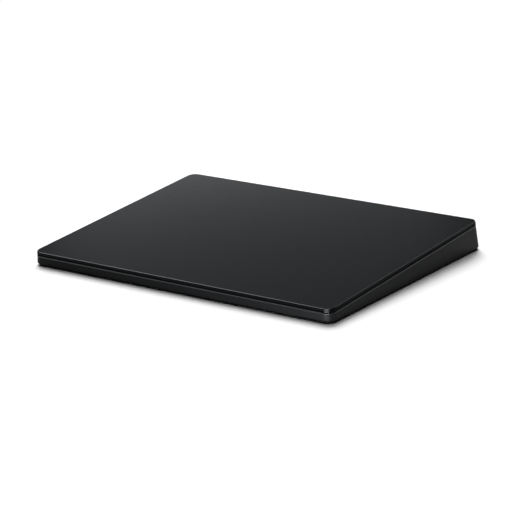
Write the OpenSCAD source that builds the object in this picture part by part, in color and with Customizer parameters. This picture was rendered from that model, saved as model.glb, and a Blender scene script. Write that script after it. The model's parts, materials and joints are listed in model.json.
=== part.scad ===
// Wedge-shaped wireless desk trackpad: a glass touch plate floats on sprung flexures over a metal tray.
// Millimetres. +X is the user's right, +Y is away from the user, +Z is up. The feet stand on z = 0.

/* [Outline] */
// Width of the touch plate and of the case
body_w = 160; // [140:1:200]
// Depth of the touch plate, seen from above
plate_d = 115; // [100:1:140]
// Height of the plate's front edge above the desk
front_h = 6.5; // [6.4:0.1:9]
// Height of the plate's rear edge above the desk
rear_h = 13.8; // [13:0.1:18]
// Corner radius, seen from above
corner_r = 4; // [3:0.5:10]
// How far the foot of the rear wall stands out behind the plate
rear_flare = 2.2; // [1:0.1:4]

/* [Touch plate] */
// Thickness of the glass
glass_t = 1.1; // [0.8:0.1:1.6]
// Thickness of the clear bond between the glass and the sensor board
bond_t = 0.1; // [0.05:0.05:0.2]
// Width of the ground edge of the glass
glass_edge = 0.3; // [0.1:0.05:0.4]
// Thickness of the rim frame and the sensor board under the glass
rim_t = 0.6; // [0.5:0.1:1]
// Width of the rim frame's band
rim_w = 3; // [2:0.5:6]
// Gap that is left between the plate and the case when the plate is pressed
plate_gap = 0.3; // [0.25:0.05:0.6]
// Downward travel of the plate when it is pressed
press_travel = 0.15; // [0.1:0.05:0.25]
// Sideways travel of the haptic drive, each way
shake_travel = 0.2; // [0.05:0.05:0.3]

/* [Case] */
// Thickness of the side walls
wall_t = 1.6; // [1.2:0.1:2.4]
// Thickness of the tray's floor
floor_t = 0.8; // [0.6:0.1:1]
// Radius of the rounded lower edge
edge_r = 0.8; // [0.4:0.1:1]
// Width of the fine bevel on the upper edge
lip_w = 0.25; // [0.1:0.05:0.4]
// Thickness of the bottom cover
cover_t = 0.6; // [0.5:0.1:0.8]
// Thickness of the adhesive sheet that holds the bottom cover
adhesive_t = 0.1; // [0.05:0.05:0.2]
// Margin of bare metal around the bottom cover
cover_margin = 2.5; // [2:0.5:5]
// Height by which the feet stand proud of the cover
foot_proud = 0.7; // [0.4:0.1:1]
// Diameter of each foot
foot_d = 12; // [8:1:16]
// Distance from the case's side to a foot's centre
foot_inset = 14; // [11:1:20]

/* [Suspension] */
// Thickness of the steel carrier plate
carrier_t = 0.8; // [0.6:0.1:1]
// Thickness of the gel pads between carrier and sensor board
gel_t = 0.25; // [0.2:0.05:0.4]
// Thickness of a flexure leaf
leaf_t = 0.4; // [0.3:0.05:0.5]
// Length of a flexure leaf
leaf_l = 20; // [16:1:26]
// Width of a flexure leaf
leaf_w = 7; // [6:0.5:9]
// Distance of the flexures from the plate's side edges
leaf_side = 11; // [9:1:16]
// Distance of the flexures from the plate's front and rear edges
leaf_end = 13; // [11:1:18]

/* [Electronics] */
// Width of the battery cell
battery_w = 118; // [80:1:120]
// Height of the battery cell
battery_h = 4; // [3:0.1:5]
// Distance from the case's side to the main board
main_board_side = 34; // [30:1:40]
// Depth of the main board
main_board_d = 20; // [18:0.5:22]
// Thickness of the main board
main_board_t = 0.8; // [0.6:0.1:1]
// Distance from the case's front to the main board
main_board_front = 12; // [10:0.5:16]
// Width of the port board
port_board_w = 62; // [56:1:80]
// Depth of the port board
port_board_d = 10; // [9:0.5:12]
// Thickness of the port board
port_board_t = 1; // [0.8:0.1:1.2]
// Place of the power switch along the rear edge
switch_x = 19; // [14:1:20]
// Travel of the power switch
switch_travel = 3; // [2:0.5:4]

/* [Hidden] */
$fn = 64;

// Colours of the finishes
black_glass = "#2b2d2e";
black_anodised = "#26282a";
black_plastic = "#17181a";
dark_rubber = "#2e2f31";
board_green = "#1f4a37";
steel = "#a9adb1";
copper = "#b3703c";

// Fits
slip = 0.1;
snug = 0.02;
overlap = 0.05;

// Frame of the wedge
total_d = plate_d + rear_flare;
front_y = -total_d / 2;
rear_y = total_d / 2;
tilt = atan((rear_h - front_h) / plate_d);
plate_l = plate_d / cos(tilt);

// A point of the tilted frame, given as [x, distance up the slope] and height above the plate's face
function plate_point(p, n) = [
    p[0],
    front_y + p[1] * cos(tilt) - n * sin(tilt),
    front_h + p[1] * sin(tilt) + n * cos(tilt)
];

// Levels below the plate's upper face, measured square to it
glass_n = -glass_t;
rim_n = glass_n - rim_t;
case_n = rim_n - press_travel - plate_gap;
gel_n = rim_n - gel_t;
carrier_n = gel_n - carrier_t;
dimple_t = 0.2;
leaf_top_n = carrier_n - dimple_t;
leaf_n = leaf_top_n - leaf_t;

// Levels above the desk
case_z = foot_proud;
cover_top_z = case_z + cover_t;
recess_top_z = cover_top_z + adhesive_t;
floor_z = recess_top_z + floor_t;
edge_z = case_z + edge_r;

// Rear wall, which leans forward from its foot to the plate's edge
rear_top = plate_point([0, plate_l], case_n - lip_w);
rear_lean = atan((rear_y - rear_top[1]) / (rear_top[2] - edge_z));
rear_wall_d = wall_t / cos(rear_lean);
function rear_wall_y(z) = rear_y - (z - edge_z) * tan(rear_lean);

// Outlines
module rounded_rect(w, d, r) {
    square([w - 2 * r, d], center = true);
    square([w, d - 2 * r], center = true);
    for (sx = [-1, 1], sy = [-1, 1])
        translate([sx * (w / 2 - r), sy * (d / 2 - r)])
            circle(r);
}

// Section of a block's rim: a wall of height h, its lower outer edge rounded
module rim_section(r, h, edge) {
    square([r - edge, h]);
    translate([0, edge])
        square([r, h - edge]);
    translate([r - edge, edge])
        circle(edge);
}

// A block whose lower face is at z = 0, with its lower edge rounded
module soft_block(w, d, h, r, edge) {
    translate([r - w / 2, r - d / 2, 0])
        cube([w - 2 * r, d - 2 * r, h]);
    for (k = [0:3])
        rotate([0, 0, 90 * k]) {
            long = k % 2 == 0 ? d : w;
            wide = k % 2 == 0 ? w : d;
            translate([wide / 2 - r, long / 2 - r, 0])
                rotate_extrude(angle = 90)
                    rim_section(r, h, edge);
            translate([wide / 2 - r, long / 2 - r, 0])
                rotate([90, 0, 0])
                    linear_extrude(long - 2 * r)
                        rim_section(r, h, edge);
        }
}

// Places children in the tilted frame of the plate: x, distance up the slope, height above its face
module on_plate() {
    translate([0, front_y, front_h])
        rotate([tilt, 0, 0])
            children();
}

// A slab between two levels of the tilted frame
module plate_slab(n_low, n_high, inset, r) {
    on_plate()
        translate([0, plate_l / 2, n_low])
            linear_extrude(n_high - n_low)
                rounded_rect(body_w - 2 * inset, plate_l - 2 * inset, r);
}

// Points round a rounded rectangle that spans y0 to y1, each corner an arc
function ring_2d(w, y0, y1, r) = [
    for (corner = [0:3], k = [0:arc_steps])
        let (
            angle = 90 * (corner + k / arc_steps),
            sx = corner == 0 || corner == 3 ? 1 : -1,
            cy = corner < 2 ? y1 - r : y0 + r
        )
        [sx * (w / 2 - r) + r * cos(angle), cy + r * sin(angle)]
];
function level_ring(ring, z) = [for (p = ring) [p[0], p[1], z]];
function plate_ring(ring, n) = [for (p = ring) plate_point(p, n)];
function plate_outline(inset, r) = ring_2d(body_w - 2 * inset, inset, plate_l - inset, r);

// A closed skin over rings of equally many points, from the lowest to the highest
module loft(rings) {
    count = len(rings[0]);
    last = len(rings) - 1;
    sides = [
        for (i = [0:last - 1], j = [0:count - 1])
            let (a = i * count + j, b = i * count + (j + 1) % count)
                each [[a, a + count, b + count], [a, b + count, b]]
    ];
    lid = [for (j = [count - 1:-1:0]) last * count + j];
    base = [for (j = [0:count - 1]) j];
    polyhedron([for (ring = rings) each ring], concat([base, lid], sides));
}

// Case
inner_r = corner_r - wall_t;
cavity_w = body_w - 2 * wall_t;
arc_steps = 10;
edge_steps = 4;

// Ring of the rounded lower edge at an angle from 0, underneath, to 90, on the wall
function edge_ring(angle) =
    let (inset = edge_r * (1 - sin(angle)))
        level_ring(
            ring_2d(body_w - 2 * inset, front_y + inset, rear_y - inset, corner_r - inset),
            case_z + edge_r * (1 - cos(angle))
        );

module case_wedge() {
    loft(concat(
        [for (k = [0:edge_steps]) edge_ring(90 * k / edge_steps)],
        [
            plate_ring(plate_outline(0, corner_r), case_n - lip_w),
            plate_ring(plate_outline(lip_w, corner_r - lip_w), case_n)
        ]
    ));
}

module case_cavity() {
    loft([
        level_ring(
            ring_2d(cavity_w, front_y + wall_t, rear_wall_y(floor_z) - rear_wall_d, inner_r),
            floor_z
        ),
        plate_ring(plate_outline(wall_t, inner_r), case_n + overlap)
    ]);
}

// Boards: width, depth and thickness
main_board_size = [body_w - 2 * main_board_side, main_board_d, main_board_t];
port_board_size = [port_board_w, port_board_d, port_board_t];
main_post_h = 0.5;
port_post_h = 1.2;
post_inset = 3;
board_r = 1;

// Rear openings
shell_w = 8.94;
shell_h = 3.16;
shell_wall = 0.3;
shell_l = 7.4;
port_board_z = floor_z + port_post_h;
port_z = port_board_z + port_board_size[2] + shell_h / 2;
mouth_inset = 0.3;
port_mouth_y = rear_wall_y(port_z + shell_h / 2) - mouth_inset;
port_clear = 0.15;
knob_l = 4.6;
knob_h = 2.2;
knob_clear = 0.3;
switch_z = port_z;
switch_slot_l = knob_l + switch_travel + 2 * knob_clear;

module stadium(w, h) {
    square([w - h, h], center = true);
    for (s = [-1, 1])
        translate([s * (w - h) / 2, 0])
            circle(h / 2);
}

// Extrudes an outline drawn in x and z along +Y from y0
module along_y(y0, length) {
    translate([0, y0 + length, 0])
        rotate([90, 0, 0])
            linear_extrude(length)
                children();
}

// Flexure places: [x, distance up the slope, direction of the free end]
leaf_places = [
    for (sx = [-1, 1], u = [leaf_end, plate_l - leaf_end])
        [sx * (body_w / 2 - leaf_side), u, -sx]
];

// Slots in the carrier plate, over the touch chips
slot_w = 10;
slot_l = 26;
slot_side = 42;
slot_end = 34;
carrier_slots = [
    for (sx = [-1, 1], u = [slot_end, plate_l - slot_end])
        [sx * (body_w / 2 - slot_side), u]
];

// Screws and their bosses
screw_r = 0.6;
screw_head_r = 1.3;
screw_head_h = 0.5;
boss_r = 2.2;
boss_depth = 1.5;
leaf_screw_in = 2.6;

module flexure_bosses() {
    intersection() {
        for (p = leaf_places)
            on_plate()
                translate([p[0], p[1], leaf_n - rear_h])
                    cylinder(r = boss_r, h = rear_h);
        translate([-body_w, -total_d, floor_z - overlap])
            cube([2 * body_w, 2 * total_d, rear_h]);
    }
}

module flexure_boss_holes() {
    for (p = leaf_places)
        on_plate()
            translate([p[0], p[1], leaf_n - boss_depth])
                cylinder(r = screw_r + snug, h = boss_depth + overlap);
}

// Board posts, each with a screw hole: [x, y, height of the board's underside]
main_board_y = front_y + main_board_front + main_board_size[1] / 2;
main_board_z = floor_z + main_post_h;
main_post_x = main_board_size[0] / 2 - post_inset;
main_post_y = main_board_size[1] / 2 - post_inset;
port_board_gap = 0.6;
port_board_y = rear_wall_y(port_board_z) - rear_wall_d - port_board_gap - port_board_size[1] / 2;
port_post_x = port_board_size[0] / 2 - post_inset;

// Haptic drive and battery, between the two boards
bar_w = 6;
bar_l = 30;
haptic_gap = 1;
haptic_y = main_board_y + main_board_size[1] / 2 + haptic_gap + bar_l / 2;
haptic_u = (haptic_y - front_y) / cos(tilt);
battery_gap = 2.2;
battery_front_y = haptic_y + bar_l / 2 + battery_gap;
battery_rear_y = port_board_y - port_board_size[1] / 2 - battery_gap;
battery_d = battery_rear_y - battery_front_y;
battery_y = (battery_front_y + battery_rear_y) / 2;

board_posts = concat(
    [for (sx = [-1, 1], sy = [-1, 1]) [sx * main_post_x, main_board_y + sy * main_post_y, main_board_z]],
    [for (sx = [-1, 1]) [sx * port_post_x, port_board_y, port_board_z]]
);
post_r = 1.8;
post_depth = 1;

module board_post(p) {
    translate([p[0], p[1], floor_z - overlap])
        cylinder(r = post_r, h = p[2] - floor_z + overlap);
}

module board_post_hole(p) {
    translate([p[0], p[1], p[2] - post_depth])
        cylinder(r = screw_r + snug, h = post_depth + overlap);
}

// Low fences at the corners of the battery's place
fence_h = 1;
fence_t = 0.8;
fence_l = 8;

module battery_fences() {
    for (sx = [-1, 1], sy = [-1, 1])
        translate([sx * (battery_w / 2 + slip), battery_y + sy * (battery_d / 2 + slip), floor_z - overlap])
            mirror([sx < 0 ? 1 : 0, 0, 0])
                mirror([0, sy < 0 ? 1 : 0, 0])
                    linear_extrude(fence_h + overlap) {
                        translate([-fence_l, 0])
                            square([fence_l + fence_t, fence_t]);
                        translate([0, -fence_l])
                            square([fence_t, fence_l + fence_t]);
                    }
}

module lower_case() {
    color(black_anodised)
        difference() {
            union() {
                difference() {
                    case_wedge();
                    case_cavity();
                }
                battery_fences();
                flexure_bosses();
                for (p = board_posts)
                    board_post(p);
            }
            translate([0, 0, case_z - overlap])
                linear_extrude(cover_t + adhesive_t + overlap)
                    rounded_rect(body_w - 2 * cover_margin, total_d - 2 * cover_margin, corner_r);
            along_y(rear_y - 4 * wall_t, 6 * wall_t)
                translate([0, port_z])
                    stadium(shell_w + 2 * port_clear, shell_h + 2 * port_clear);
            along_y(rear_y - 4 * wall_t, 6 * wall_t)
                translate([switch_x, switch_z])
                    square([switch_slot_l, knob_h + 2 * knob_clear], center = true);
            flexure_boss_holes();
            for (p = board_posts)
                board_post_hole(p);
        }
}

// Underside
cover_w = body_w - 2 * cover_margin - 2 * slip;
cover_d = total_d - 2 * cover_margin - 2 * slip;
foot_seat = 0.3;
foot_edge = 0.25;
foot_places = [
    for (sx = [-1, 1], sy = [-1, 1])
        [sx * (body_w / 2 - foot_inset), sy * (total_d / 2 - foot_inset)]
];

module bottom_cover() {
    color(black_plastic)
        difference() {
            translate([0, 0, case_z])
                linear_extrude(cover_t)
                    rounded_rect(cover_w, cover_d, corner_r - slip);
            for (p = foot_places)
                translate([p[0], p[1], case_z - overlap])
                    cylinder(d = foot_d + 2 * slip, h = foot_seat + overlap);
        }
}

// Die-cut adhesive sheet: a frame with two cross bands
band_w = 10;
frame_w = 6;

module cover_adhesive() {
    inner_w = cover_w - 2 * frame_w;
    inner_d = cover_d - 2 * frame_w;
    color("#d8d4c4")
        translate([0, 0, cover_top_z])
            linear_extrude(adhesive_t)
                difference() {
                    rounded_rect(cover_w, cover_d, corner_r - slip);
                    for (k = [-1, 0, 1])
                        translate([k * (inner_w + band_w) / 3, 0])
                            rounded_rect((inner_w - 2 * band_w) / 3, inner_d, inner_r);
                }
}

module feet() {
    color(dark_rubber)
        for (p = foot_places)
            translate([p[0], p[1], 0])
                rotate_extrude() {
                    square([foot_d / 2 - foot_edge, foot_edge]);
                    translate([0, foot_edge])
                        square([foot_d / 2, foot_proud + foot_seat - foot_edge]);
                    translate([foot_d / 2 - foot_edge, foot_edge])
                        circle(foot_edge);
                }
}

// Battery: it fills the space between the haptic drive and the port board
tape_t = 0.2;
tape_w = 8;
tape_inset = 20;
tape_short = 1;
battery_z = floor_z + tape_t;
battery_r = 1.6;
battery_board_size = [30, 0.6, 3];

module battery_cell() {
    color("#3a3c40")
        translate([0, battery_y, battery_z + battery_h / 2])
            rotate([0, 90, 0])
                linear_extrude(battery_w, center = true)
                    rounded_rect(battery_h, battery_d, battery_r);
}

module battery_tape() {
    color("black")
        for (sx = [-1, 1])
            translate([sx * (battery_w / 2 - tape_inset), battery_y, floor_z + tape_t / 2])
                cube([tape_w, battery_d - 2 * (battery_r + tape_short), tape_t], center = true);
}

// The cell's protection board stands on edge against the front of the cell
module battery_board() {
    color(board_green)
        translate([0, battery_front_y - battery_board_size[1] / 2, battery_z + battery_h / 2])
            cube(battery_board_size, center = true);
}

// Thin ribbons between the boards, lying on the tray's floor
ribbon_t = 0.15;
ribbon_w = 5;
ribbon_tuck = 1;
ribbon_gap = 0.6;
ribbon_front_y = main_board_y + main_board_size[1] / 2 - ribbon_tuck;
ribbon_rear_y = port_board_y - ribbon_w / 2;
port_ribbon_x = body_w / 2 - leaf_side + boss_r + ribbon_gap;

module floor_strip(x0, y0, x1, y1) {
    translate([x0, y0, floor_z])
        cube([x1 - x0, y1 - y0, ribbon_t]);
}

module battery_ribbon() {
    color("#8a5a24")
        floor_strip(-ribbon_w / 2, ribbon_front_y, ribbon_w / 2, battery_front_y - slip);
}

module port_ribbon() {
    side = port_ribbon_x + ribbon_w;
    color("#8a5a24") {
        floor_strip(main_board_size[0] / 2 - ribbon_tuck, ribbon_front_y, side, ribbon_front_y + ribbon_w);
        floor_strip(port_ribbon_x, ribbon_front_y, side, ribbon_rear_y + ribbon_w);
        floor_strip(port_board_size[0] / 2 - ribbon_tuck, ribbon_rear_y, side, ribbon_rear_y + ribbon_w);
    }
}

// Main board
main_top_z = main_board_z + main_board_size[2];
chip_t = 0.6;

module board(size, holes) {
    difference() {
        linear_extrude(size[2])
            rounded_rect(size[0], size[1], board_r);
        for (h = holes)
            translate([h[0], h[1], -overlap])
                cylinder(r = screw_r + slip, h = size[2] + 2 * overlap);
    }
}

module main_board() {
    color(board_green)
        translate([0, main_board_y, main_board_z])
            board(main_board_size, [for (sx = [-1, 1], sy = [-1, 1]) [sx * main_post_x, sy * main_post_y]]);
}

// Chips in a row from the board's left end, and their sides
chip_sides = [4, 7, 5];
chip_pitch = 11;
chip_margin = 11;

module main_chips() {
    color("#202124")
        for (i = [0:len(chip_sides) - 1])
            translate([chip_margin + i * chip_pitch - main_board_size[0] / 2, main_board_y, main_top_z])
                translate([-chip_sides[i] / 2, -chip_sides[i] / 2, 0])
                    cube([chip_sides[i], chip_sides[i], chip_t]);
}

// Ribbon sockets: a low housing with a slot along its rear side
socket_d = 2.4;
socket_h = 0.9;
socket_slot = 0.3;
socket_slot_d = 1.2;
socket_margin = 1;
touch_ribbon_w = 7;
touch_ribbon_x = body_w / 2 - slot_side - slot_l / 2 + touch_ribbon_w / 2 + socket_margin;
socket_rear_y = main_board_y + main_board_size[1] / 2 - socket_margin;
socket_slot_z = main_top_z + socket_h / 2;
sockets = [[touch_ribbon_x, touch_ribbon_w], [0, ribbon_w]];

module board_connectors() {
    slot_low = (socket_h - socket_slot) / 2;
    color("#b9b3a4")
        for (p = sockets)
            translate([p[0] - p[1] / 2 - socket_margin, socket_rear_y - socket_d, main_top_z])
                difference() {
                    cube([p[1] + 2 * socket_margin, socket_d, socket_h]);
                    translate([socket_margin - slip, socket_d - socket_slot_d, slot_low])
                        cube([p[1] + 2 * slip, socket_d, socket_slot]);
                }
}

can_size = [22, 11, 0.8];
can_wall = 0.2;
can_r = 0.8;
can_front = 2.5;
can_y = main_board_y - main_board_size[1] / 2 + can_front + can_size[1] / 2;
can_x = chip_margin + len(chip_sides) * chip_pitch + can_size[0] / 2 - main_board_size[0] / 2;

module shield_can() {
    inner_w = can_size[0] - 2 * can_wall;
    inner_d = can_size[1] - 2 * can_wall;
    color(steel)
        translate([can_x, can_y, main_top_z])
            difference() {
                linear_extrude(can_size[2])
                    rounded_rect(can_size[0], can_size[1], can_r);
                translate([0, 0, -overlap])
                    linear_extrude(can_size[2] - can_wall + overlap)
                        rounded_rect(inner_w, inner_d, can_r - can_wall);
            }
}

// A pan-head screw whose head rests on z = 0
module pan_screw(length) {
    cylinder(r = screw_head_r, h = screw_head_h);
    translate([0, 0, -length])
        cylinder(r = screw_r, h = length + overlap);
}

module main_board_screws() {
    color(steel)
        for (sx = [-1, 1], sy = [-1, 1])
            translate([sx * main_post_x, main_board_y + sy * main_post_y, main_top_z])
                pan_screw(main_board_size[2] + post_depth - slip);
}

// The antenna board lies along the left wall
antenna_size = [6, 14, 0.6];
antenna_gap = 1;

module antenna_board() {
    color(board_green)
        translate([
            antenna_size[0] / 2 + antenna_gap - cavity_w / 2,
            main_board_y + main_board_size[1] / 2 + antenna_size[1] / 2,
            floor_z
        ])
            linear_extrude(antenna_size[2])
                rounded_rect(antenna_size[0], antenna_size[1], board_r);
}

// Port board with the charging socket and the power switch
port_top_z = port_board_z + port_board_size[2];

module port_board() {
    color(board_green)
        translate([0, port_board_y, port_board_z])
            board(port_board_size, [for (sx = [-1, 1]) [sx * port_post_x, 0]]);
}

module port_board_screws() {
    color(steel)
        for (sx = [-1, 1])
            translate([sx * port_post_x, port_board_y, port_top_z])
                pan_screw(port_board_size[2] + post_depth - slip);
}

tongue_w = 6.7;
tongue_t = 0.7;
tongue_short = 1;
shell_back = 1.2;

module port_shell() {
    color(steel)
        difference() {
            along_y(port_mouth_y - shell_l, shell_l)
                translate([0, port_z])
                    stadium(shell_w, shell_h);
            along_y(port_mouth_y - shell_l + shell_back, shell_l)
                translate([0, port_z])
                    stadium(shell_w - 2 * shell_wall, shell_h - 2 * shell_wall);
        }
}

module port_tongue() {
    color(black_plastic)
        along_y(port_mouth_y - shell_l + shell_back, shell_l - shell_back - tongue_short)
            translate([0, port_z])
                square([tongue_w, tongue_t], center = true);
}

// Contact strips in two rows, above and below the tongue
contact_count = 12;
contact_pitch = 0.5;
contact_w = 0.25;
contact_t = 0.08;
contact_l = 3.6;

module port_contacts() {
    color("#c9a24b")
        for (side = [-1, 1], i = [0:contact_count - 1])
            translate([
                (i - (contact_count - 1) / 2) * contact_pitch,
                port_mouth_y - tongue_short - contact_l / 2 - slip,
                port_z + side * (tongue_t + contact_t) / 2
            ])
                cube([contact_w, contact_l, contact_t], center = true);
}

// Slide switch: the knob's stem runs in a groove of the housing
housing_end = 0.8;
housing_gap = 0.4;
housing_l = switch_slot_l + 2 * housing_end;
housing_h = 3.2;
housing_d = 4;
stem_l = 1.6;
stem_h = 1;
stem_d = 2.4;
groove_l = stem_l + switch_travel + 2 * knob_clear;
housing_rear_y = rear_wall_y(switch_z + housing_h / 2) - rear_wall_d - housing_gap;
knob_rear_y = rear_wall_y(switch_z + knob_h / 2) - slip;
knob_ribs = 4;
rib_w = 0.4;
rib_deep = 0.3;

module switch_housing() {
    color(black_plastic)
        difference() {
            translate([switch_x - housing_l / 2, housing_rear_y - housing_d, port_top_z])
                cube([housing_l, housing_d, housing_h]);
            translate([switch_x, housing_rear_y, switch_z])
                cube([groove_l, 2 * (stem_d + knob_clear), stem_h + 2 * knob_clear], center = true);
        }
}

module power_slider() {
    knob_x = switch_x - switch_travel / 2;
    color("#3a3d40")
        difference() {
            union() {
                translate([knob_x - knob_l / 2, housing_rear_y + slip, switch_z - knob_h / 2])
                    cube([knob_l, knob_rear_y - housing_rear_y - slip, knob_h]);
                translate([knob_x - stem_l / 2, housing_rear_y - stem_d, switch_z - stem_h / 2])
                    cube([stem_l, stem_d + slip + overlap, stem_h]);
            }
            for (i = [0:knob_ribs - 1])
                translate([knob_x + (i - (knob_ribs - 1) / 2) * 2 * rib_w, knob_rear_y, switch_z])
                    cube([rib_w, 2 * rib_deep, 2 * knob_h], center = true);
        }
}

// Suspension: each leaf is screwed to a boss and carries the carrier plate on a dimple at its free end
dimple_r = 1.8;
leaf_r = 1.5;
waist_in = 8;
waist_r = 1.75;

module flexure_springs() {
    color(steel)
        for (p = leaf_places)
            on_plate()
                translate([p[0], p[1], leaf_n])
                    difference() {
                        union() {
                            translate([p[2] * (leaf_l / 2 - leaf_screw_in), 0, 0])
                                linear_extrude(leaf_t)
                                    rounded_rect(leaf_l, leaf_w, leaf_r);
                            translate([p[2] * (leaf_l - 2 * leaf_screw_in), 0, leaf_t - overlap])
                                cylinder(r = dimple_r, h = dimple_t + overlap);
                        }
                        translate([0, 0, -overlap])
                            cylinder(r = screw_r + slip, h = leaf_t + 2 * overlap);
                        for (s = [-1, 1])
                            translate([p[2] * waist_in, s * leaf_w / 2, -overlap])
                                cylinder(r = waist_r, h = leaf_t + 2 * overlap);
                    }
}

module flexure_screws() {
    color(steel)
        for (p = leaf_places)
            on_plate()
                translate([p[0], p[1], leaf_top_n])
                    pan_screw(leaf_t + boss_depth - slip);
}

// Strain films on the underside of each leaf
gauge_size = [5, 2.4, 0.12];

module strain_gauges() {
    color("#9a6a2e")
        for (p = leaf_places)
            on_plate()
                translate([p[0] + p[2] * waist_in, p[1], leaf_n - gauge_size[2] / 2])
                    cube(gauge_size, center = true);
}

// Carrier plate
carrier_clear = 0.5;
window_clear = 1.3;
window_end = 3;
window_l = bar_l + 2 * window_end;
window_w = bar_w + 2 * (shake_travel + window_clear);
access_clear = 0.5;
access_r = screw_head_r + access_clear;
slot_r = 2;
flange_h = 0.7;
flange_l = body_w - 2 * (leaf_side + leaf_l);

// Down-turned edges that stiffen the plate along its front and rear
module carrier_flanges() {
    edge = wall_t + carrier_clear;
    for (u = [edge, plate_l - edge - carrier_t])
        translate([-flange_l / 2, u, carrier_n - flange_h])
            cube([flange_l, carrier_t, flange_h + overlap]);
}

module carrier_plate() {
    color(steel)
        difference() {
            union() {
                plate_slab(carrier_n, gel_n, wall_t + carrier_clear, inner_r);
                on_plate()
                    carrier_flanges();
            }
            on_plate() {
                translate([-window_w / 2, haptic_u - window_l / 2, carrier_n - overlap])
                    cube([window_w, window_l, carrier_t + 2 * overlap]);
                for (p = leaf_places)
                    translate([p[0], p[1], carrier_n - overlap])
                        cylinder(r = access_r, h = carrier_t + 2 * overlap);
                for (p = carrier_slots)
                    translate([p[0], p[1], carrier_n - overlap])
                        linear_extrude(carrier_t + 2 * overlap)
                            rounded_rect(slot_l, slot_w, slot_r);
                for (p = core_screw_places)
                    translate([p[0], p[1], carrier_n - overlap])
                        cylinder(r = screw_r + slip, h = carrier_t + 2 * overlap);
            }
        }
}

gel_size = [18, 6];
gel_r = 1;
gel_side = 26;
gel_end = 10;
gel_places = [
    for (sx = [-1, 0, 1], u = [gel_end, plate_l - gel_end])
        [sx * (body_w / 2 - gel_side), u]
];

module gel_pads() {
    color("#c9ccd0")
        for (p = gel_places)
            on_plate()
                translate([p[0], p[1], gel_n])
                    linear_extrude(gel_t)
                        rounded_rect(gel_size[0], gel_size[1], gel_r);
}

// Haptic drive: two electromagnets on the carrier pull the bar on the sensor board from side to side
bar_t = 2.6;
pole_clear = 0.4;
air_gap = shake_travel + pole_clear;
core_h = 2.2;
yoke_w = 2.4;
leg_l = 6;
leg_w = 4;
core_l = bar_l;
mid_leg_h = 0.9;
coil_t = 0.5;
coil_gap = 0.5;
core_tab = 3.4;
core_screw_in = 4;
core_screw_y = core_l / 2 - core_screw_in;
core_screw_places = [
    for (sx = [-1, 1], sy = [-1, 1])
        [sx * (bar_w / 2 + air_gap + leg_l + yoke_w + core_tab / 2), haptic_u + sy * core_screw_y]
];

// Drawn with the legs pointing to -X and their faces on x = 0
module e_core() {
    translate([leg_l, -core_l / 2, 0])
        cube([yoke_w, core_l, core_h]);
    for (sy = [-1, 1])
        translate([0, sy * (core_l - leg_w) / 2 - leg_w / 2, 0])
            cube([leg_l + overlap, leg_w, core_h]);
    translate([0, -leg_w / 2, (core_h - mid_leg_h) / 2])
        cube([leg_l + overlap, leg_w, mid_leg_h]);
}

module on_each_core() {
    for (sx = [0, 1])
        on_plate()
            translate([0, haptic_u, carrier_n - core_h])
                mirror([sx, 0, 0])
                    translate([bar_w / 2 + air_gap, 0, 0])
                        children();
}

module haptic_cores() {
    color("#55585c")
        on_each_core()
            difference() {
                union() {
                    e_core();
                    translate([leg_l + yoke_w - overlap, -core_l / 2, core_h - leaf_t])
                        cube([core_tab + overlap, core_l, leaf_t]);
                }
                for (sy = [-1, 1])
                    translate([leg_l + yoke_w + core_tab / 2, sy * core_screw_y, -overlap])
                        cylinder(r = screw_r + slip, h = core_h + 2 * overlap);
            }
}

module haptic_coils() {
    color(copper)
        on_each_core()
            translate([coil_gap, 0, core_h / 2])
                rotate([0, 90, 0])
                    linear_extrude(leg_l - 2 * coil_gap)
                        difference() {
                            rounded_rect(mid_leg_h + 2 * coil_t, leg_w + 4 * coil_t, coil_t);
                            square([mid_leg_h + 2 * snug, leg_w + 2 * snug], center = true);
                        }
}

module core_screws() {
    color(steel)
        for (p = core_screw_places)
            on_plate()
                translate([p[0], p[1], carrier_n - leaf_t])
                    mirror([0, 0, 1])
                        pan_screw(leaf_t + carrier_t - slip);
}

// Touch plate
module touch_glass() {
    color(black_glass)
        on_plate()
            translate([0, plate_l / 2, 0])
                mirror([0, 0, 1])
                    soft_block(body_w, plate_l, glass_t, corner_r, glass_edge);
}

module plate_rim() {
    color(black_plastic)
        difference() {
            plate_slab(rim_n, glass_n, 0, corner_r);
            on_plate()
                translate([0, plate_l / 2, rim_n - overlap])
                    linear_extrude(rim_t + 2 * overlap)
                        rounded_rect(body_w - 2 * rim_w, plate_l - 2 * rim_w, inner_r);
        }
}

module touch_board() {
    color(board_green)
        plate_slab(rim_n, glass_n - bond_t, rim_w + slip, inner_r - slip);
}

module glass_bond() {
    color("#d6dadc")
        plate_slab(glass_n - bond_t, glass_n, rim_w + slip, inner_r - slip);
}

// Controller chips hang in the carrier's slots
touch_chip = 6;

module touch_chips() {
    color("#202124")
        for (p = carrier_slots)
            on_plate()
                translate([p[0], p[1], rim_n - chip_t / 2])
                    cube([touch_chip, touch_chip, chip_t], center = true);
}

// The sensor board's ribbon rises in an S from its socket, through a slot of the carrier
s_steps = 16;
ribbon_lead = 1;
ribbon_land = 3;
ribbon_run = 5;
ribbon_rise_y = socket_rear_y + ribbon_lead / 2;
ribbon_top_y = ribbon_rise_y + ribbon_run;
function board_under_z(y) = front_h + (y - front_y) * tan(tilt) + rim_n / cos(tilt) - snug;
function s_curve(t) = t * t * (3 - 2 * t);
function ribbon_z(y) =
    let (
        t = min(1, max(0, (y - ribbon_rise_y) / (ribbon_top_y - ribbon_rise_y))),
        low = socket_slot_z + ribbon_t / 2
    )
        low + (board_under_z(max(y, ribbon_top_y)) - low) * s_curve(t);

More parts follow.
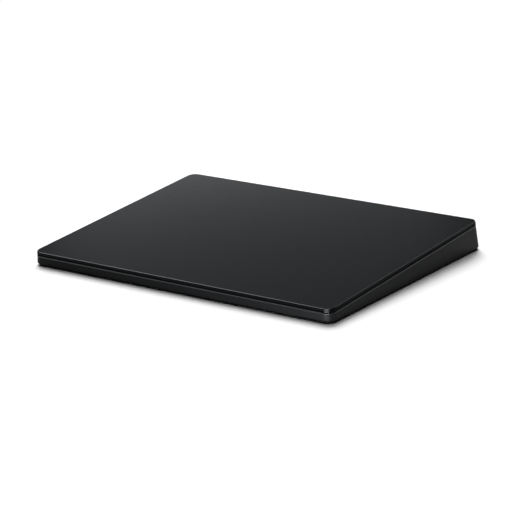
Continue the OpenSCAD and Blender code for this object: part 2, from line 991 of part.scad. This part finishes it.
module touch_ribbon() {
    start_y = socket_rear_y - ribbon_lead;
    bend = [for (i = [0:s_steps]) ribbon_rise_y + (ribbon_top_y - ribbon_rise_y) * i / s_steps];
    path = concat([start_y], bend, [ribbon_top_y + ribbon_land]);
    upper = [for (y = path) [y, ribbon_z(y)]];
    lower = [for (i = [len(path) - 1:-1:0]) [path[i], ribbon_z(path[i]) - ribbon_t]];
    color("#8a5a24")
        translate([touch_ribbon_x - touch_ribbon_w / 2, 0, 0])
            rotate([90, 0, 90])
                linear_extrude(touch_ribbon_w)
                    polygon(concat(upper, lower));
}

module armature_bar() {
    color("#6a6d70")
        on_plate()
            translate([-bar_w / 2, haptic_u - bar_l / 2, rim_n - bar_t])
                cube([bar_w, bar_l, bar_t]);
}

lower_case();
bottom_cover();
cover_adhesive();
feet();
battery_cell();
battery_tape();
battery_board();
battery_ribbon();
main_board();
main_chips();
board_connectors();
shield_can();
main_board_screws();
antenna_board();
port_board();
port_board_screws();
port_shell();
port_tongue();
port_contacts();
port_ribbon();
switch_housing();
power_slider();
flexure_springs();
flexure_screws();
strain_gauges();
carrier_plate();
gel_pads();
haptic_cores();
haptic_coils();
core_screws();
touch_glass();
plate_rim();
glass_bond();
touch_board();
touch_chips();
touch_ribbon();
armature_bar();
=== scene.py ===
"""Looks of a wedge-shaped desk trackpad: dark satin glass over an anodised metal tray, on a white floor."""

import json
import math

import bpy
from mathutils import Matrix, Vector


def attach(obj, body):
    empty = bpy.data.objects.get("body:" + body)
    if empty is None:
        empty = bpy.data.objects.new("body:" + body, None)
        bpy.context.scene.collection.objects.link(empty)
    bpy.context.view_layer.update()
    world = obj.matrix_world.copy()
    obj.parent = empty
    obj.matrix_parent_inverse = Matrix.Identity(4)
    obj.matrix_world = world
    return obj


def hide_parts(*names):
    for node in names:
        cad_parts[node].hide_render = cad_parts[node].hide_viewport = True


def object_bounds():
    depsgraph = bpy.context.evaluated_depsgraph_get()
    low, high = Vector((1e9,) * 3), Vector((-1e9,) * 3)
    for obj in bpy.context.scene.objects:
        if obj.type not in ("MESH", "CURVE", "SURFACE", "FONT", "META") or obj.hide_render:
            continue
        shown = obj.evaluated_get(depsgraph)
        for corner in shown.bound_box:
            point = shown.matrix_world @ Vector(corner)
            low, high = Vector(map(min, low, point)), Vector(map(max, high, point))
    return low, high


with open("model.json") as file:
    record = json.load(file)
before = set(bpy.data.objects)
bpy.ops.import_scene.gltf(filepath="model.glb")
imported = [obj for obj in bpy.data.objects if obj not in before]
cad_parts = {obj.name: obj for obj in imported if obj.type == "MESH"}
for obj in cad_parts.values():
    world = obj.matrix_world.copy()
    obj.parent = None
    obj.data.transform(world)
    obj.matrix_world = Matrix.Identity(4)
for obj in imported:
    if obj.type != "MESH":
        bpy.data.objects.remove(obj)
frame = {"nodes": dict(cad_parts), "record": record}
cad_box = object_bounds()
nodes = frame["nodes"]

# Camera, fitted to the edges of the touch plate, in degrees and metres
AZIMUTH = 37.248
ELEVATION = 17.748
ROLL = -2.498
DISTANCE = 0.97460
TARGET = Vector((0.00806, -0.01181, 0.00495))
FOCAL_PX = 2238.0
IMAGE_PX = 512
SENSOR_MM = 36.0
CLIP_START = 0.01

# The touch plate as the CAD source has it, in metres
PLATE_W = 0.160
PLATE_D = 0.115
FRONT_H = 0.0065
REAR_H = 0.0138
CORNER_R = 0.004
WALL_T = 0.0016
INNER_R = 0.0024
TILT = math.atan2(REAR_H - FRONT_H, PLATE_D)
PLATE_L = PLATE_D / math.cos(TILT)

# Rings round the plate: inset from its outline and height over its face, in millimetres
GLASS_PROFILE = ((0.42, 0.0), (0.39, -0.008), (0.372, -0.021), (0.9, -0.03), (0.9, -1.10))
EDGE_PROFILE = (
    (0.37, -0.022), (0.28, -0.112), (0.268, -0.135), (0.255, -0.175), (0.01, -0.95),
    (0.0, -1.0), (0.02, -1.06), (0.08, -1.10), (0.85, -1.10), (0.85, -0.04),
)
RIM_PROFILE = (
    (0.22, -1.10), (0.02, -1.62), (0.0, -1.65), (0.02, -1.68),
    (0.06, -1.70), (3.0, -1.70), (3.0, -1.10),
)
LIP_PROFILE = (
    (0.0, -2.42), (0.0, -2.17), (0.015, -2.145), (0.235, -1.925),
    (0.27, -1.91), (1.0, -1.91), (1.0, -2.42),
)
MM_PER_M = 1000
ARC_STEPS = 16
SHARP_ANGLE = math.radians(34)

# The part of a noise's range that a finish uses, and how strongly its fine grain shows as relief
GRAIN_RANGE = (0.3, 0.7)
GRAIN_DETAIL = 3.0
FINE_GRAIN = 4.0
RELIEF = 0.3

# The floor: its half size, its true and its seen colour, and where it fades to plain white, in metres
FLOOR_HALF = 6.0
FLOOR_ALBEDO = 0.92
FLOOR_SEEN = 1.10
FLOOR_ROUGH = 0.9
FLOOR_SPECULAR = 0.1
FLOOR_FADE = (0.25, 0.60)

# The surround: its level, and the sines of elevation between which its white horizon band fades
WORLD_LEVEL = 0.01
HORIZON_FADE = (0.02, 0.06)
WHITE_LEVEL = 1.0

# Lamps: name, azimuth, elevation, distance, width, height, watts, what it lights
LAMPS = (
    ("key", 221, 48, 3.0, 2.2, 2.2, 109.0, "ground"),
    ("top", 0, 90, 1.5, 1.2, 1.2, 7.0, "all"),
    ("plate_key", 297, 48, 1.6, 1.2, 1.2, 27.0, "trim"),
    ("back", 158, 37, 1.3, 0.8, 0.8, 3.4, "trim"),
    ("back_strip", 218.5, 8, 0.28, 0.235, 0.07, 0.078, "plate"),
    ("plate_corner", 18, 13, 0.5, 0.40, 0.16, 8.8, "edges"),
    ("bevel_corner", 30, 68, 1.0, 0.6, 0.35, 6.0, "edges"),
    ("case_corner", 29, 2.5, 0.157, 0.10, 0.012, 0.32, "case"),
    ("side", 112, 8, 0.35, 0.2, 0.06, 0.28, "case"),
    ("rear_fill", 180, 25, 0.6, 0.5, 0.3, 2.4, "metal"),
    ("front_fill", 37, 20, 1.0, 0.8, 0.4, 0.35, "plate"),
    ("right_fill", 105, 20, 1.0, 1.2, 0.4, 0.5, "plate"),
)
PLAIN_WHITE = (1.0, 1.0, 1.0)
COOL_WHITE = (0.95, 1.0, 1.03)
PLAIN_LIT = ("all", "ground")


def add_object(name, data):
    """A new object in the scene, for a mesh, a lamp or a camera."""
    obj = bpy.data.objects.new(name, data)
    bpy.context.scene.collection.objects.link(obj)
    return obj


def direction(azimuth, elevation):
    """The unit vector towards an azimuth and elevation in degrees; 0 is the front, 90 the right."""
    turn, rise = math.radians(azimuth), math.radians(elevation)
    return Vector((
        math.sin(turn) * math.cos(rise),
        -math.cos(turn) * math.cos(rise),
        math.sin(rise),
    ))


def node_material(name):
    """A new material, with its node tree and its shader."""
    material = bpy.data.materials.new(name)
    material.use_nodes = True
    tree = material.node_tree
    return material, tree, tree.nodes["Principled BSDF"]


def add_node(tree, kind, **settings):
    """A new node; a setting is one of its inputs, or else one of its properties."""
    node = tree.nodes.new(kind)
    for key, value in settings.items():
        if key in node.inputs:
            node.inputs[key].default_value = value
        else:
            setattr(node, key, value)
    return node


def remap(tree, source, from_range, to_range, interpolation="LINEAR"):
    """An output's values, mapped from one range onto another."""
    node = add_node(tree, "ShaderNodeMapRange", interpolation_type=interpolation)
    for side, (low, high) in (("From", from_range), ("To", to_range)):
        node.inputs[side + " Min"].default_value = low
        node.inputs[side + " Max"].default_value = high
    tree.links.new(source, node.inputs["Value"])
    return node.outputs["Result"]


def calculate(tree, operation, first, second):
    """The sum or product of two outputs, kept between 0 and 1."""
    node = add_node(tree, "ShaderNodeMath", operation=operation, use_clamp=True)
    tree.links.new(first, node.inputs[0])
    tree.links.new(second, node.inputs[1])
    return node.outputs["Value"]


def grain(tree, scale):
    """A fine noise over the object's own coordinates, in cells per metre."""
    place = add_node(tree, "ShaderNodeTexCoord")
    noise = add_node(tree, "ShaderNodeTexNoise", Scale=scale, Detail=GRAIN_DETAIL)
    tree.links.new(place.outputs["Object"], noise.inputs["Vector"])
    return noise.outputs["Fac"]


def ramp(tree, source, low, high):
    """A blend of two colours, driven by a noise."""
    node = add_node(tree, "ShaderNodeValToRGB")
    for stop, position, colour in zip(node.color_ramp.elements, GRAIN_RANGE, (low, high)):
        stop.position = position
        stop.color = (*colour, 1.0)
    tree.links.new(source, node.inputs["Fac"])
    return node.outputs["Color"]


def bump(tree, shader, source, height):
    """Relief of a height in metres, driven by a noise."""
    node = add_node(tree, "ShaderNodeBump", Distance=height, Strength=RELIEF)
    tree.links.new(source, node.inputs["Height"])
    tree.links.new(node.outputs["Normal"], shader.inputs["Normal"])


def grained(name, low, high, rough, scale, height, metallic=0.0, specular=0.5):
    """A surface whose colour and gloss vary with a coarse grain, and its relief with a fine one."""
    material, tree, shader = node_material(name)
    coarse = grain(tree, scale)
    tree.links.new(ramp(tree, coarse, low, high), shader.inputs["Base Color"])
    tree.links.new(remap(tree, coarse, GRAIN_RANGE, rough), shader.inputs["Roughness"])
    bump(tree, shader, grain(tree, scale * FINE_GRAIN), height)
    shader.inputs["Metallic"].default_value = metallic
    shader.inputs["Specular IOR Level"].default_value = specular
    return material


# The finish of each material slot
MATERIALS = {
    "black_glass": grained(
        "satin_glass", (0.0038, 0.0040, 0.0044), (0.0046, 0.0048, 0.0053), (0.34, 0.38), 900, 3e-6),
    "anodised": grained(
        "dark_anodised", (0.0026, 0.0027, 0.0028), (0.0034, 0.0035, 0.0037), (0.37, 0.43), 1500, 6e-6,
        specular=0.062),
    "black_plastic": grained(
        "moulded_black", (0.010, 0.010, 0.011), (0.015, 0.015, 0.016), (0.42, 0.55), 1400, 8e-6),
    "rubber": grained(
        "foot_rubber", (0.020, 0.020, 0.021), (0.030, 0.030, 0.031), (0.7, 0.9), 1600, 2e-5),
    "cell_film": grained(
        "cell_film", (0.040, 0.040, 0.044), (0.055, 0.055, 0.060), (0.3, 0.45), 300, 2e-5),
    "tape": grained(
        "tape", (0.015, 0.015, 0.015), (0.022, 0.022, 0.022), (0.6, 0.8), 800, 1e-5),
    "board": grained(
        "board", (0.007, 0.012, 0.010), (0.011, 0.018, 0.015), (0.3, 0.45), 700, 1e-5),
    "ribbon": grained(
        "ribbon", (0.22, 0.095, 0.025), (0.28, 0.125, 0.035), (0.3, 0.4), 500, 5e-6),
    "chip": grained(
        "chip", (0.016, 0.016, 0.017), (0.024, 0.024, 0.026), (0.5, 0.7), 1500, 1e-5),
    "steel": grained(
        "steel", (0.36, 0.37, 0.38), (0.44, 0.45, 0.46), (0.25, 0.38), 600, 5e-6, metallic=1.0),
    "slider": grained(
        "slider", (0.030, 0.031, 0.033), (0.040, 0.042, 0.045), (0.4, 0.55), 1500, 1e-5),
    "gel": grained(
        "gel", (0.56, 0.58, 0.60), (0.64, 0.66, 0.68), (0.2, 0.35), 400, 1e-5),
    "core_iron": grained(
        "core_iron", (0.08, 0.08, 0.09), (0.12, 0.12, 0.13), (0.5, 0.7), 900, 2e-5, metallic=0.6),
    "adhesive": grained(
        "adhesive", (0.64, 0.61, 0.51), (0.70, 0.67, 0.57), (0.5, 0.7), 500, 1e-5),
    "socket_plastic": grained(
        "socket_plastic", (0.45, 0.42, 0.34), (0.50, 0.47, 0.39), (0.4, 0.55), 900, 1e-5),
    "gold": grained(
        "gold", (0.55, 0.34, 0.06), (0.62, 0.38, 0.08), (0.2, 0.3), 900, 5e-6, metallic=1.0),
    "clear_bond": grained(
        "clear_bond", (0.64, 0.68, 0.69), (0.68, 0.72, 0.73), (0.2, 0.3), 500, 5e-6),
    "copper": grained(
        "copper", (0.38, 0.14, 0.05), (0.50, 0.20, 0.07), (0.25, 0.4), 1200, 2e-5, metallic=1.0),
}

# The finishes of the pieces that are made here
RIM_BLACK = grained(
    "rim_black", (0.0006, 0.0006, 0.0007), (0.0009, 0.0009, 0.0010), (0.13, 0.17), 1200, 1e-6, specular=0.05)
BEVEL_GLASS = grained(
    "glass_bevel", (0.0040, 0.0043, 0.0048), (0.0050, 0.0053, 0.0059), (0.13, 0.17), 900, 1e-6)
LIP_METAL = grained(
    "cut_chamfer", (0.0036, 0.0037, 0.0040), (0.0044, 0.0045, 0.0049), (0.20, 0.26), 1500, 2e-6,
    specular=0.16)
EDGE_BLACK = grained(
    "glass_edge", (0.0006, 0.0006, 0.0007), (0.0009, 0.0009, 0.0010), (0.22, 0.27), 1500, 5e-7, specular=0.05)


def dress_cad_nodes():
    """Gives every CAD node the material of its slot."""
    slots = {s["node"]: s["material_slot"] for s in frame["record"]["subparts"]}
    for name, obj in nodes.items():
        obj.data.materials.clear()
        obj.data.materials.append(MATERIALS[slots[name]])


def plate_outline(inset, height):
    """A ring of points round the plate, inset from its outline, at a height over its face."""
    radius = CORNER_R - inset if inset < WALL_T else INNER_R
    ring = []
    for corner in range(4):
        side_x = 1 if corner in (0, 3) else -1
        side_u = 1 if corner < 2 else -1
        for step in range(ARC_STEPS + 1):
            angle = math.pi / 2 * (corner + step / ARC_STEPS)
            x = side_x * (PLATE_W / 2 - inset - radius) + radius * math.cos(angle)
            u = PLATE_L / 2 + side_u * (PLATE_L / 2 - inset - radius) + radius * math.sin(angle)
            ring.append((
                x,
                cad_box[0][1] + u * math.cos(TILT) - height * math.sin(TILT),
                FRONT_H + u * math.sin(TILT) + height * math.cos(TILT),
            ))
    return ring


def lofted_ring(name, profile, closed):
    """A mesh through the rings of a profile: a closed band, or a plate with a flat top and underside."""
    rings = [plate_outline(inset / MM_PER_M, height / MM_PER_M) for inset, height in profile]
    count = len(rings[0])
    verts = [p for ring in rings for p in ring]
    faces = []
    for k in range(len(rings) if closed else len(rings) - 1):
        low, high = k * count, (k + 1) % len(rings) * count
        for i in range(count):
            j = (i + 1) % count
            faces.append((low + i, high + i, high + j, low + j))
    if not closed:
        faces.append(tuple(range(count)))
        faces.append(tuple(reversed(range(len(verts) - count, len(verts)))))
    mesh = bpy.data.meshes.new(name)
    mesh.from_pydata(verts, [], faces)
    mesh.shade_smooth()
    mesh.set_sharp_from_angle(angle=SHARP_ANGLE)
    for face in mesh.polygons:
        if len(face.vertices) > 4:
            face.use_smooth = False
    return add_object(name, mesh)


def make_glass():
    """The glass plate: its satin face, over a core that the edge band hides."""
    glass = lofted_ring("touch_glass_plate", GLASS_PROFILE, False)
    glass.data.materials.append(MATERIALS["black_glass"])
    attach(glass, "touch_plate")
    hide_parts("touch_glass")
    return glass


def make_edge_band():
    """The edge of the glass: a polished bevel over a ground black side that leans out."""
    band = lofted_ring("glass_edge_band", EDGE_PROFILE, True)
    band.data.materials.append(BEVEL_GLASS)
    band.data.materials.append(EDGE_BLACK)
    bevel_faces = len(plate_outline(0, 0))
    for k, face in enumerate(band.data.polygons):
        face.material_index = 0 if k < bevel_faces else 1
    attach(band, "touch_plate")
    return band


def make_rim():
    """The ring under the glass, with a sloped outer side."""
    rim = lofted_ring("plate_rim_ring", RIM_PROFILE, True)
    rim.data.materials.append(RIM_BLACK)
    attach(rim, "touch_plate")
    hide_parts("plate_rim")
    return rim


def make_lip():
    """The fine chamfered edge of the case, in the shadow gap under the plate."""
    lip = lofted_ring("case_lip", LIP_PROFILE, True)
    lip.data.materials.append(LIP_METAL)
    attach(lip, "base")
    return lip


def seen_rays(tree):
    """Two outputs: 1 for a ray from the camera, and 1 for a mirrored or see-through ray."""
    path = add_node(tree, "ShaderNodeLightPath").outputs
    mirrored = calculate(tree, "ADD", path["Is Glossy Ray"], path["Is Transmission Ray"])
    return path["Is Camera Ray"], mirrored


def floor_material():
    """A white that keeps the shadow near the object, and is seen as plain white far from it."""
    material, tree, shader = node_material("floor_white")
    seen = calculate(tree, "ADD", *seen_rays(tree))
    shade = remap(tree, seen, (0.0, 1.0), (FLOOR_ALBEDO, FLOOR_SEEN))
    tree.links.new(shade, shader.inputs["Base Color"])
    shader.inputs["Roughness"].default_value = FLOOR_ROUGH
    shader.inputs["Specular IOR Level"].default_value = FLOOR_SPECULAR
    place = add_node(tree, "ShaderNodeTexCoord")
    reach = add_node(tree, "ShaderNodeVectorMath", operation="LENGTH")
    tree.links.new(place.outputs["Object"], reach.inputs[0])
    fade = remap(tree, reach.outputs["Value"], FLOOR_FADE, (0.0, 1.0), "SMOOTHSTEP")
    white = add_node(tree, "ShaderNodeEmission", Strength=WHITE_LEVEL)
    mix = add_node(tree, "ShaderNodeMixShader")
    tree.links.new(calculate(tree, "MULTIPLY", fade, seen), mix.inputs["Fac"])
    tree.links.new(shader.outputs["BSDF"], mix.inputs[1])
    tree.links.new(white.outputs["Emission"], mix.inputs[2])
    tree.links.new(mix.outputs["Shader"], tree.nodes["Material Output"].inputs["Surface"])
    return material


def make_floor():
    """A white floor that the object stands on."""
    mesh = bpy.data.meshes.new("floor")
    signs = ((-1, -1), (1, -1), (1, 1), (-1, 1))
    mesh.from_pydata([(x * FLOOR_HALF, y * FLOOR_HALF, 0) for x, y in signs], [], [(0, 1, 2, 3)])
    floor = add_object("floor", mesh)
    mesh.materials.append(floor_material())
    return floor


def make_world():
    """A dim surround, white to the camera, and to mirrored rays in a low band over the horizon."""
    world = bpy.data.worlds.new("studio")
    bpy.context.scene.world = world
    world.use_nodes = True
    tree = world.node_tree
    surround = tree.nodes["Background"]
    surround.inputs["Color"].default_value = (*PLAIN_WHITE, 1.0)
    place = add_node(tree, "ShaderNodeTexCoord")
    axes = add_node(tree, "ShaderNodeSeparateXYZ")
    tree.links.new(place.outputs["Generated"], axes.inputs["Vector"])
    low = remap(tree, axes.outputs["Z"], HORIZON_FADE, (1.0, 0.0), "SMOOTHSTEP")
    camera_ray, mirrored = seen_rays(tree)
    seen = calculate(tree, "ADD", camera_ray, calculate(tree, "MULTIPLY", mirrored, low))
    level = remap(tree, seen, (0.0, 1.0), (WORLD_LEVEL, WHITE_LEVEL))
    tree.links.new(level, surround.inputs["Strength"])


def studio_light(name, azimuth, elevation, distance, width, height, watts, colour, receivers):
    """A soft box that faces the object; with receivers, it lights these alone."""
    data = bpy.data.lights.new(name, "AREA")
    data.shape = "RECTANGLE"
    data.size = width
    data.size_y = height
    data.energy = watts
    data.color = colour
    lamp = add_object(name, data)
    lamp.location = distance * direction(azimuth, elevation)
    lamp.rotation_mode = "QUATERNION"
    lamp.rotation_quaternion = (-lamp.location).to_track_quat("-Z", "Y")
    if receivers:
        group = bpy.data.collections.new(name + "_receivers")
        for obj in receivers:
            group.objects.link(obj)
        lamp.light_linking.receiver_collection = group


def make_camera():
    """The camera at the photograph's viewing angle."""
    azimuth = math.radians(AZIMUTH)
    roll = math.radians(ROLL)
    back = direction(AZIMUTH, ELEVATION)
    level = Vector((math.cos(azimuth), math.sin(azimuth), 0.0))
    upright = back.cross(level)
    right = math.cos(roll) * level + math.sin(roll) * upright
    up = -math.sin(roll) * level + math.cos(roll) * upright
    data = bpy.data.cameras.new("camera")
    data.sensor_width = SENSOR_MM
    data.lens = FOCAL_PX / IMAGE_PX * SENSOR_MM
    data.clip_start = CLIP_START
    camera = add_object("camera", data)
    turn = Matrix((right, up, back)).transposed().to_4x4()
    camera.matrix_world = Matrix.Translation(TARGET + back * DISTANCE) @ turn
    bpy.context.scene.camera = camera


dress_cad_nodes()
glass = make_glass()
band = make_edge_band()
rim = make_rim()
lip = make_lip()
floor = make_floor()
make_world()
receivers = {
    "all": (),
    "ground": (floor, *nodes.values(), lip),
    "trim": (glass, band, rim, lip),
    "plate": (glass, band, rim),
    "edges": (band, rim),
    "case": (nodes["lower_case"], lip),
    "metal": (*nodes.values(), lip),
}
for *light, lit in LAMPS:
    studio_light(*light, PLAIN_WHITE if lit in PLAIN_LIT else COOL_WHITE, receivers[lit])
make_camera()
bpy.context.scene.view_settings.view_transform = "Standard"
